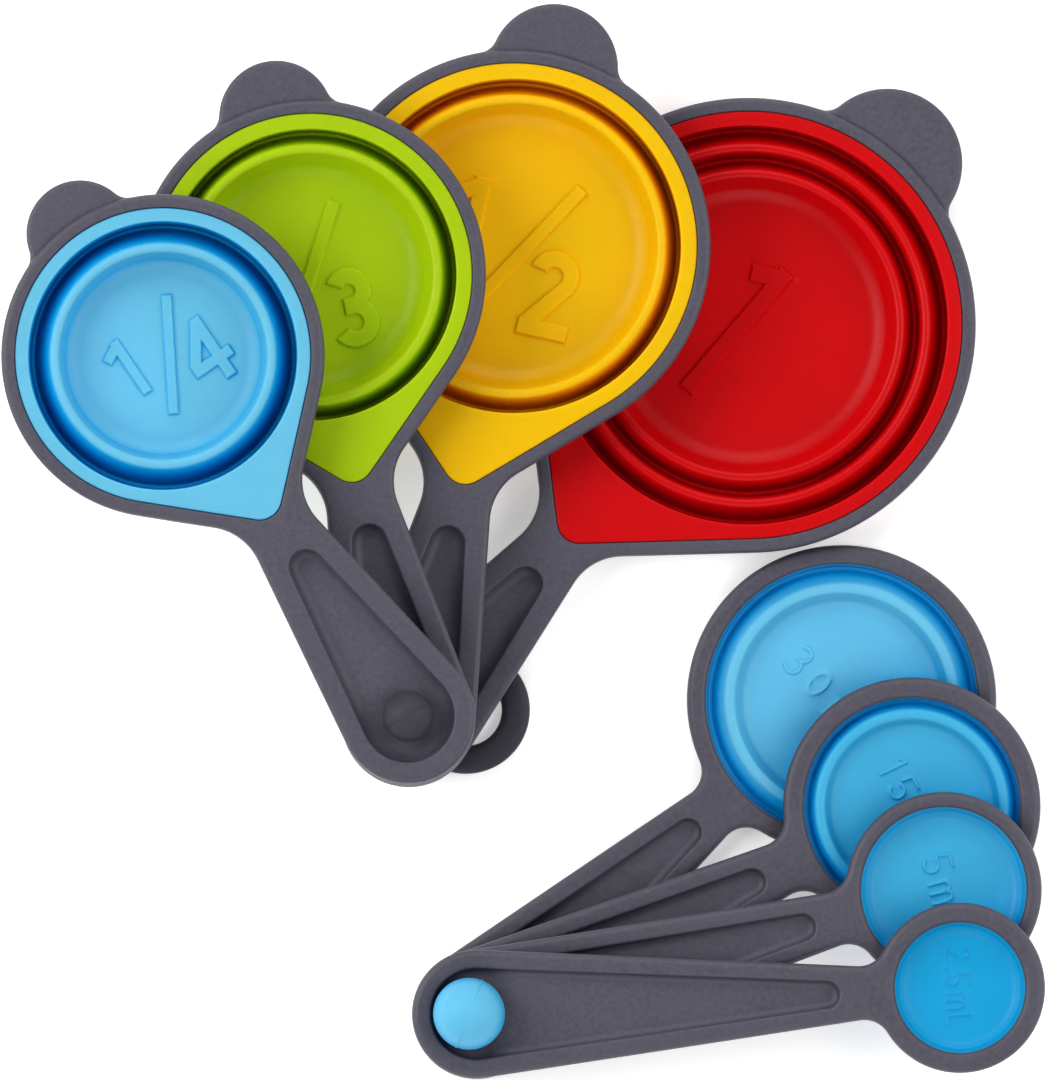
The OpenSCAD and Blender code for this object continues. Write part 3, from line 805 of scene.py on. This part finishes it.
def marking(reach, parts, height):
    """Raised relief of a marking: parts are shapes in reading coordinates, right and up"""
    shape = union([part[0] for part in parts])

    def field(p):
        reading = np.stack([-p[:, 1], p[:, 0] - reach], 1)
        return shape(reading)

    levels = (0.0, 0.25, 0.5, 0.75, 1.0)
    pts = []
    for _, (x0, y0, x1, y1) in parts:
        u, v = np.meshgrid(np.arange(x0, x1, MARK_GRID), np.arange(y0, y1, MARK_GRID))
        pts.append(np.stack([v.ravel() + reach, -u.ravel()], 1))
    pts = np.concatenate(pts)
    d = field(pts)
    eps = 0.01
    gx = (field(pts + [eps, 0]) - field(pts - [eps, 0])) / (2 * eps)
    gy = (field(pts + [0, eps]) - field(pts - [0, eps])) / (2 * eps)
    out = []
    for level in levels:
        at = -MARK_EDGE * level
        near = np.abs(d - at) < 0.16
        q = pts[near] - np.stack([gx[near], gy[near]], 1) * (d[near] - at)[:, None]
        q = q[np.abs(field(q) - at) < 0.01]
        out.append(thin(q, 0.2, []))

    def relief(p):
        t = np.clip(-field(p) / MARK_EDGE, 0, 1)
        return height * t * t * (3 - 2 * t)
    return {"points": out, "height": relief}


def part(c, x, y, size, weight=0.155):
    """One glyph and the box round it"""
    half = size * 0.56
    return moved(glyph(c, weight), x, y, size), (x - half, y - half, x + half, y + half)


def slash(a, b, w):
    lo = np.minimum(a, b) - w
    hi = np.maximum(a, b) + w
    return bar(a, b, w), (lo[0], lo[1], hi[0], hi[1])


# ---- pins

def ball(shell, radius, seat, centre_z, ridge, turn):
    """A moulded ball, cut off at its seat, with a thin parting line in one upright plane"""
    rise = np.linspace(-math.asin(seat), math.pi / 2, 26)
    fine = np.array([-6, -4, -3, -2.2, -1.4, -0.7, 0, 0.7, 1.4, 2.2, 3, 4, 6])
    wide = np.arange(10, 171, 4)
    a = np.radians(np.concatenate([fine, wide, fine + 180, wide + 180]))
    w = np.exp(-(np.degrees(np.arcsin(np.sin(a))) / 1.1) ** 2) * (np.abs(np.cos(a)) > 0.5)
    a = a + turn
    rings = []
    for t in rise[:-1]:
        r = radius * math.cos(t) + ridge * w
        level = np.full(len(a), centre_z + radius * math.sin(t))
        rings.append(np.column_stack([r * np.cos(a), r * np.sin(a), level]))
    count = len(a)
    shell.add(strip(rings))
    top = np.array([[0, 0, centre_z + radius]])
    fan = np.concatenate([rings[-1], top])
    shell.add((fan, [(i, (i + 1) % count, count) for i in range(count)]))
    return rings[0]


def stem(shell, under_ball, r, z_low, foot_r, foot_z):
    """Underside of the ball, the stem through the bores, and its foot"""
    count = len(under_ball)
    a = np.arctan2(under_ball[:, 1], under_ball[:, 0])
    ring = np.stack([np.cos(a), np.sin(a)], 1)
    edge = 0.4
    rows = [under_ball, lift(ring * r, under_ball[0, 2]), lift(ring * r, foot_z)]
    rows += [lift(ring * (foot_r - edge), foot_z), lift(ring * foot_r, foot_z - edge),
             lift(ring * foot_r, z_low + edge), lift(ring * (foot_r - edge), z_low)]
    shell.add(strip(rows, flip=True))
    end = np.concatenate([rows[-1], [[0, 0, z_low]]])
    shell.add((end, [((i + 1) % count, i, count) for i in range(count)]))


def loop_ring(name, place):
    """Hanging loop: a soft ring with rounded faces"""
    width = (LOOP["r"] - LOOP["hole"]) / 2
    mid = (LOOP["r"] + LOOP["hole"]) / 2
    count = 40
    t = 2 * math.pi * np.arange(count) / count
    power = 0.72
    u = np.sign(np.cos(t)) * np.abs(np.cos(t)) ** power
    v = np.sign(np.sin(t)) * np.abs(np.sin(t)) ** power
    a = 2 * math.pi * np.arange(AZIMUTHS // 2) / (AZIMUTHS // 2)
    rings = []
    for i in range(count + 1):
        k = i % count
        r = mid + width * u[k]
        z = LOOP["t"] / 2 * (1 + v[k])
        rings.append(np.column_stack([r * np.cos(a), r * np.sin(a), np.full(len(a), z)]))
    shell = Shell()
    shell.add(strip(rings))
    return shell.build(name, place)


# ---- materials

def srgb(r, g, b):
    def one(v):
        v = v / 255
        return v / 12.92 if v <= 0.04045 else ((v + 0.055) / 1.055) ** 2.4
    return (one(r), one(g), one(b), 1.0)


class Nodes:
    """Short names for building the node tree of a material or a world"""

    def __init__(self, owner, shader="Principled BSDF", coords="Object"):
        owner.use_nodes = True
        self.owner = owner
        self.tree = owner.node_tree
        self.shader = self.tree.nodes[shader]
        self.coords = self.new("TexCoord").outputs[coords]

    def feed(self, value, socket):
        """Link a node's output to a socket, or set the socket to a plain value"""
        if hasattr(value, "is_output"):
            self.tree.links.new(value, socket)
        else:
            socket.default_value = value

    def new(self, kind, **inputs):
        """A node with its inputs fed; an underscore in an input's name stands for a space"""
        n = self.tree.nodes.new("ShaderNode" + kind)
        for name, value in inputs.items():
            self.feed(value, n.inputs[name.replace("_", " ")])
        return n

    def set(self, name, value):
        self.feed(value, self.shader.inputs[name])

    def noise(self, scale, detail=4.0, rough=0.6):
        n = self.new("TexNoise", Scale=scale, Detail=detail, Roughness=rough,
                     Vector=self.coords)
        return n.outputs["Fac"]

    def ramp(self, fac, stops):
        n = self.new("ValToRGB", Fac=fac)
        elements = n.color_ramp.elements
        elements[0].position, elements[0].color = stops[0]
        elements[1].position, elements[1].color = stops[-1]
        for position, colour in stops[1:-1]:
            elements.new(position).color = colour
        return n.outputs["Color"]

    def span(self, value, start, end, low, high):
        """low where a value is start or less, high where it is end or more"""
        n = self.new("MapRange", Value=value, From_Min=start, From_Max=end, To_Min=low,
                     To_Max=high)
        return n.outputs["Result"]

    def remap(self, fac, low, high):
        """A noise's middle range spread from low to high"""
        return self.span(fac, 0.3, 0.7, low, high)

    def mix(self, fac, a, b, mode="MIX"):
        n = self.new("Mix")
        n.data_type = "RGBA"
        n.blend_type = mode
        for value, index in ((fac, 0), (a, 6), (b, 7)):
            self.feed(value, n.inputs[index])
        return n.outputs[2]

    def upward(self, tilt, flat, low, high):
        """low on a face whose normal rises by tilt or less, high where it rises by flat"""
        normal = self.new("NewGeometry").outputs["Normal"]
        rise = self.new("SeparateXYZ", Vector=normal).outputs["Z"]
        return self.span(rise, tilt, flat, low, high)

    def times(self, a, b):
        n = self.new("Math")
        n.operation = "MULTIPLY"
        self.feed(a, n.inputs[0])
        self.feed(b, n.inputs[1])
        return n.outputs["Value"]

    def nearness(self, reach):
        """1 on open faces, towards 0 deep in a fold no wider than reach, in millimetres"""
        n = self.new("AmbientOcclusion", Distance=reach * MM)
        n.samples = 8
        return n.outputs["AO"]

    def bump(self, height, strength, distance):
        return self.new("Bump", Strength=strength, Distance=distance * MM, Height=height)


def plastic(name, dark, light, rough=(0.46, 0.58), grain=0.035, gloss=0.42):
    """Matte moulded plastic: fine spark-eroded grain, a slight mottling, and painted shade that
    darkens its corners and creases
    """
    m = Nodes(bpy.data.materials.new(name))
    mottle = m.noise(900, 3.0)
    cloud = m.noise(60, 2.0)
    grain_noise = m.noise(2600, 2.0, 0.7)
    base = m.ramp(mottle, [(0.25, dark), (0.75, light)])
    worn = m.mix(m.remap(cloud, 0.0, 0.35), base, light)
    # painted shade: the base colour darkens in corners and creases that have other faces within 6
    # mm
    shade = m.ramp(m.nearness(6.0), [(0.20, (0.42, 0.42, 0.46, 1)), (0.85, (1, 1, 1, 1))])
    m.set("Base Color", m.mix(1.0, worn, shade, "MULTIPLY"))
    m.set("Roughness", m.remap(mottle, rough[0], rough[1]))
    m.set("Specular IOR Level", gloss)
    fine = m.bump(grain_noise, 0.35, grain)
    coarse = m.bump(mottle, 0.15, 0.04)
    m.feed(coarse.outputs["Normal"], fine.inputs["Normal"])
    m.set("Normal", fine.outputs["Normal"])
    return m.owner


def silicone(name, darkest_shade, deep, mid, open_sheen_colour, reach=9.0):
    """Satin silicone with painted light: the deeper a fold lies, the more its colour saturates
    and darkens as painted shade, tilted faces are painted darker, and open upright faces carry a
    painted sheen
    """
    m = Nodes(bpy.data.materials.new(name))
    cloud = m.noise(45, 3.0)
    fine = m.noise(1500, 3.0, 0.65)
    # painted shade and sheen: how open a face is, times how upright it is, picks its colour from
    # the darkest shade tone through the deep and mid shade tones to the sheen colour of open
    # upright faces; reach is how far the painted shade looks, in millimetres
    level = m.times(m.nearness(reach), m.upward(0.35, 0.97, 0.66, 1.0))
    painted_light_tone = m.ramp(level, [(0.02, darkest_shade), (0.16, deep), (0.42, mid), (0.82, open_sheen_colour)])
    varied = m.ramp(cloud, [(0.3, (0.93, 0.93, 0.93, 1)), (0.7, (1, 1, 1, 1))])
    m.set("Base Color", m.mix(1.0, painted_light_tone, varied, "MULTIPLY"))
    m.set("Roughness", m.remap(fine, 0.36, 0.46))
    m.set("Subsurface Weight", 0.4)
    m.set("Subsurface Radius", (1.0, 0.8, 0.8))
    m.set("Subsurface Scale", 3.0 * MM)
    m.set("Specular IOR Level", 0.16)
    m.set("Normal", m.bump(fine, 0.22, 0.03).outputs["Normal"])
    return m.owner


def dress(piece, material, body, nodes):
    piece.data.materials.append(material)
    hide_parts(*nodes)
    if body:
        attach(piece, body)


# ---- build

def travel_share(d, h):
    """How far each ring of an opening bowl rises, from 0 at the base to 1 at the frame"""
    folds = len(d["crests"])
    bounds = list(zip(groove_radii(d["mouth"], d["crests"]), d["crests"]))

    def share(line):
        top = CREST_LEVEL * h
        out = np.ones(len(line))
        for i, (g, c) in enumerate(bounds):
            high = 1 - i / folds
            low = 1 - (i + 1) / folds
            deep = np.clip((-line[:, 1] - top) / (h - top), 0, 1)
            r = line[:, 0]
            out = np.where(r < g, low + (high - low) * deep, out)
            out = np.where(r < c, low, out)
        return out
    return share


# Plastics, each with painted shade in its corners and creases
GREY = plastic("frame_plastic", srgb(60, 59, 69), srgb(75, 73, 86))
PIN_GREY = plastic("pin_plastic", srgb(49, 48, 56), srgb(57, 56, 65), (0.5, 0.6), 0.02, 0.2)
# Silicones: darkest, deep and mid tones of painted shade, then the colour of open upright faces
# with its painted sheen
RED = silicone("red_silicone", srgb(150, 2, 10), srgb(192, 0, 6), srgb(204, 0, 6),
               srgb(194, 0, 6))
YELLOW = silicone("yellow_silicone", srgb(170, 84, 0), srgb(228, 150, 0), srgb(238, 170, 0),
                  srgb(227, 178, 0))
GREEN = silicone("green_silicone", srgb(80, 112, 0), srgb(134, 172, 0), srgb(162, 196, 0),
                 srgb(158, 187, 8))
LIGHT_BLUE = silicone("light_blue_silicone", srgb(0, 66, 124), srgb(0, 118, 192),
                      srgb(0, 158, 216), srgb(97, 178, 209))


def spoon_blue(name, mid, open_sheen_colour):
    # The spoon blues share darkest and deep tones of painted shade, which reaches 16 mm
    return silicone(name, srgb(0, 92, 158), srgb(0, 124, 194), mid, open_sheen_colour, 16.0)


# Each spoon blue: its mid tone of painted shade, then the colour of open upright faces with its
# painted sheen
BLUE = spoon_blue("blue_silicone", srgb(0, 146, 206), srgb(94, 180, 216))
SPOON_BLUES = {"30": BLUE,
               "15": spoon_blue("blue_silicone_15", srgb(0, 144, 204), srgb(64, 168, 210)),
               "5": spoon_blue("blue_silicone_5", srgb(0, 144, 204), srgb(60, 166, 208)),
               "2_5": spoon_blue("blue_silicone_2_5", srgb(0, 140, 198), srgb(16, 150, 198))}

CUP_PIVOT = np.array([0.0, 0.0])
SPOON_PIVOT = pin_axis("spoon_pin")


def fold_height(top, drop, low):
    return (top - drop - WALL - low) / BASE_LEVEL


def build_cups():
    stack = [("1", "cup_1", RED, "silicone_red"), ("half", "cup_half", YELLOW, "silicone_yellow"),
             ("third", "cup_third", GREEN, "silicone_green"),
             ("quarter", "cup_quarter", LIGHT_BLUE, "silicone_light_blue")]
    below = None
    for key, body, material, slot in stack:
        base_node = "cup_1_base" if key == "1" else body + "_bowl"
        top = top_of(body + "_frame")
        reach, direction = along(CUP_PIVOT, base_centre(base_node))
        h = fold_height(top, FLANGE_DROP, lowest_of(base_node))
        foot = 0.0
        if below is not None:
            foot = top - CUP_T - (below - CUP_RECESS["depth"]) - STACK_GAP
        below = top
        place = placing(CUP_PIVOT, direction, top)
        shell = cup_frame(key, body + "_handle", place, reach, foot)
        dress(shell, GREY, body, [body + "_frame"])
        d = CUPS[key]
        place = placing(CUP_PIVOT, direction, top - FLANGE_DROP)
        relief = marking(reach, CUP_MARKS[key], CUP_MARK)
        if key == "1":
            piece = bowl("cup_1_silicone", place, reach, d, h, True, relief,
                         travel_share(d, h))
            nodes = ["cup_1_flange", "cup_1_pleat_outer", "cup_1_band", "cup_1_pleat_inner",
                     "cup_1_base"]
            dress(piece, material, None, nodes)
            bend(piece)
        else:
            piece = bowl(body + "_silicone", place, reach, d, h, True, relief)
            dress(piece, material, body, [body + "_bowl"])


def bend(piece):
    """Bake a piece's placing into its mesh; the share of the travel of each point is read but not
    used
    """
    share = np.empty(len(piece.data.vertices), np.float32)
    piece.data.attributes["share"].data.foreach_get("value", share)
    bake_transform(piece)


def build_spoons():
    stack = [("30", "spoon_30"), ("15", "spoon_15"), ("5", "spoon_5"), ("2_5", "spoon_2_5")]
    below = None
    for key, body in stack:
        base_node = "spoon_30_base" if key == "30" else body + "_bowl"
        top = top_of(body + "_frame")
        reach, direction = along(SPOON_PIVOT, base_centre(base_node))
        d = SPOONS[key]
        low = lowest_of(base_node)
        h = fold_height(top, LIP_DROP, low) if d["crests"] else top - LIP_DROP - WALL - low
        foot = 0.0
        if below is not None:
            foot = top - SPOON_T - (below - SPOON_RECESS["depth"]) - STACK_GAP
        below = top
        place = placing(SPOON_PIVOT, direction, top)
        shell = spoon_frame(key, body + "_handle", place, reach, foot)
        dress(shell, GREY, body, [body + "_frame"])
        place = placing(SPOON_PIVOT, direction, top - LIP_DROP)
        relief = marking(reach, SPOON_MARKS[key], SPOON_MARK)
        if key == "30":
            piece = bowl("spoon_30_silicone", place, reach, d, h, False, relief,
                         travel_share(d, h))
            dress(piece, SPOON_BLUES[key], None,
                  ["spoon_30_rim", "spoon_30_pleat", "spoon_30_base"])
            bend(piece)
        else:
            piece = bowl(body + "_silicone", place, reach, d, h, False, relief)
            dress(piece, SPOON_BLUES[key], body, [body + "_bowl"])


def fraction_marks(size, digit, at, one, slope, w, weight):
    return [part("1", one[0], one[1], size, weight), part(digit, at[0], at[1], size, weight),
            slash(np.array(slope[0]), np.array(slope[1]), w)]


CUP_MARKS = {
    "1": [part("1", -2.9, -2.5, 38.0, 0.125)],
    "half": fraction_marks(21.8, "2", (10.9, -9.1), (-11.6, 4.4), ((-9.0, -19), (13.2, 17.6)),
                           3.7, 0.205),
    "third": fraction_marks(19.7, "3", (7.9, -9.4), (-10.8, 3.6), ((-10.6, -17.4), (9.4, 16.6)),
                            3.6, 0.225),
    "quarter": [part("1", -8.4, 2.4, 15.4, 0.195), part("4", 9.4, -4.6, 17.2, 0.195),
                slash(np.array((-5.8, -12.9)), np.array((9.1, 12.2)), 3.0)],
}
SPOON_MARKS = {
    "30": [part("3", -14.0, -1.5, 8.6), part("0", -6.6, -1.5, 8.6), part("m", 2.2, -1.5, 8.6),
           part("L", 9.6, -1.5, 8.6)],
    "15": [part("1", -10.4, 0.0, 7.8), part("5", -4.7, 0.0, 7.8), part("m", 2.6, 0.0, 7.8),
           part("L", 9.2, 0.0, 7.8)],
    "5": [part("5", -6.5, 0.3, 7.9), part("m", 0.4, 0.3, 7.9), part("L", 6.8, 0.3, 7.9)],
    "2_5": [part("2", -8.2, -0.4, 6.4), part(".", -5.0, -0.4, 6.4), part("5", -2.1, -0.4, 6.4),
            part("m", 3.0, -0.4, 6.4), part("L", 7.8, -0.4, 6.4)],
}


def lean(piece, floor_z, shift):
    """Push the soft ball head sideways on its stem"""
    for v in piece.data.vertices:
        if v.co.z > (floor_z - 0.01) * MM:
            v.co += shift


def pin(name, sizes, place, floor_z, foot_z, ridge, turn):
    """A pin with a ball head that stands on floor_z and a foot below foot_z"""
    shell = Shell()
    under = ball(shell, sizes["knob"], SEAT, floor_z + sizes["knob"] * SEAT, ridge, turn)
    stem(shell, under, sizes["hole"] - PIN_PLAY, 0.0, sizes["foot"], foot_z)
    return shell.build(name, place, 30)


def build_pins():
    floor_z = top_of("cup_quarter_frame") - CUP_RECESS["depth"] + STACK_GAP
    foot_z = top_of("cup_1_frame") - CUP_T - STACK_GAP
    piece = pin("cup_pin_ball", CUP_PIN, placing(CUP_PIVOT, 0, 0), floor_z, foot_z, 0.2, 0.5)
    dress(piece, PIN_GREY, "cup_pin", ["cup_pin"])
    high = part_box("cup_pin")[1]
    turn = math.asin((high.y / MM - LOOP["r"]) / LOOP["shift"])
    place = placing(CUP_PIVOT, turn, 0) @ Matrix.Translation((LOOP["shift"] * MM, 0, 0))
    ring = loop_ring("cup_pin_loop", place)
    dress(ring, PIN_GREY, "cup_pin", ["cup_pin"])
    floor_z = top_of("spoon_2_5_frame") - SPOON_RECESS["depth"] + STACK_GAP
    foot_z = top_of("spoon_30_frame") - SPOON_T - STACK_GAP
    place = placing(SPOON_PIVOT, 0, 0)
    piece = pin("spoon_pin_ball", SPOON_PIN, place, floor_z, foot_z, 0.22, 1.2)
    lean(piece, floor_z, Vector((-HEAD_LEAN * MM, 0.0, 0.0)))
    dress(piece, BLUE, "spoon_pin", ["spoon_pin"])


# ---- studio

IMAGE_W = 1048
IMAGE_H = 1080
BOX_SIZE = 1.1         # width of a soft box, in metres
CAMERA_FAR = 5.0       # metres from the camera to the object
CAMERA_TILT = math.radians(88.0)
CAMERA_MARGIN = 1.0058  # width of the picture, in widths of the object
SENSOR = 36


def area_light(name, place, target, power):
    data = bpy.data.lights.new(name, "AREA")
    data.shape = "DISK"
    data.size = BOX_SIZE
    data.energy = power
    lamp = bpy.data.objects.new(name, data)
    lamp.location = place
    aim = Vector(target) - Vector(place)
    lamp.rotation_euler = aim.to_track_quat("-Z", "Y").to_euler()
    bpy.context.scene.collection.objects.link(lamp)


# Name, place from the middle of the object in metres, and power of each soft box
SOFTBOXES = [("left", -1.0, 0.25, 0.9, 15), ("right", 1.0, 0.0, 0.9, 9),
             ("back", 0.1, 1.15, 0.9, 8), ("front", 0.0, -1.15, 0.9, 6)]


def studio():
    bpy.ops.mesh.primitive_plane_add(size=6, location=(0, 0, 0))
    floor = bpy.context.object
    floor.name = "floor"
    m = Nodes(bpy.data.materials.new("paper_floor"))
    m.set("Base Color", m.ramp(m.noise(8, 3.0), [(0.3, (0.95, 0.95, 0.95, 1)),
                                                (0.7, (0.97, 0.97, 0.97, 1))]))
    m.set("Roughness", 0.9)
    m.set("Emission Color", (1, 1, 1, 1))
    m.set("Emission Strength", 0.4)
    floor.data.materials.append(m.owner)
    low, high = cad_box
    mid = (Vector(low) + Vector(high)) / 2
    for name, x, y, z, power in SOFTBOXES:
        area_light(name, mid + Vector((x, y, z)), mid, power)
    sky = Nodes(bpy.data.worlds.new("studio"), "Background", "Generated")
    rise = sky.new("SeparateXYZ", Vector=sky.coords).outputs["Z"]
    sky.set("Color", sky.ramp(rise, [(0.45, (1, 1, 1, 1)), (0.92, (0.06, 0.06, 0.06, 1))]))
    sky.set("Strength", 0.5)
    bpy.context.scene.world = sky.owner
    bpy.context.scene.view_settings.view_transform = "Standard"


def camera():
    low, high = cad_box
    mid = (Vector(low) + Vector(high)) / 2
    data = bpy.data.cameras.new("camera")
    lens = bpy.data.objects.new("camera", data)
    bpy.context.scene.collection.objects.link(lens)
    ray = Vector((0, -math.cos(CAMERA_TILT), math.sin(CAMERA_TILT)))
    lens.location = mid + ray * CAMERA_FAR
    lens.rotation_euler = (-ray).to_track_quat("-Z", "Y").to_euler()
    span = (high[0] - low[0]) * CAMERA_MARGIN
    data.sensor_fit = "VERTICAL"
    data.sensor_height = SENSOR
    data.lens = SENSOR * CAMERA_FAR / (span * IMAGE_H / IMAGE_W)
    data.clip_end = 4 * CAMERA_FAR
    bpy.context.scene.camera = lens


build_cups()
build_spoons()
build_pins()
studio()
camera()
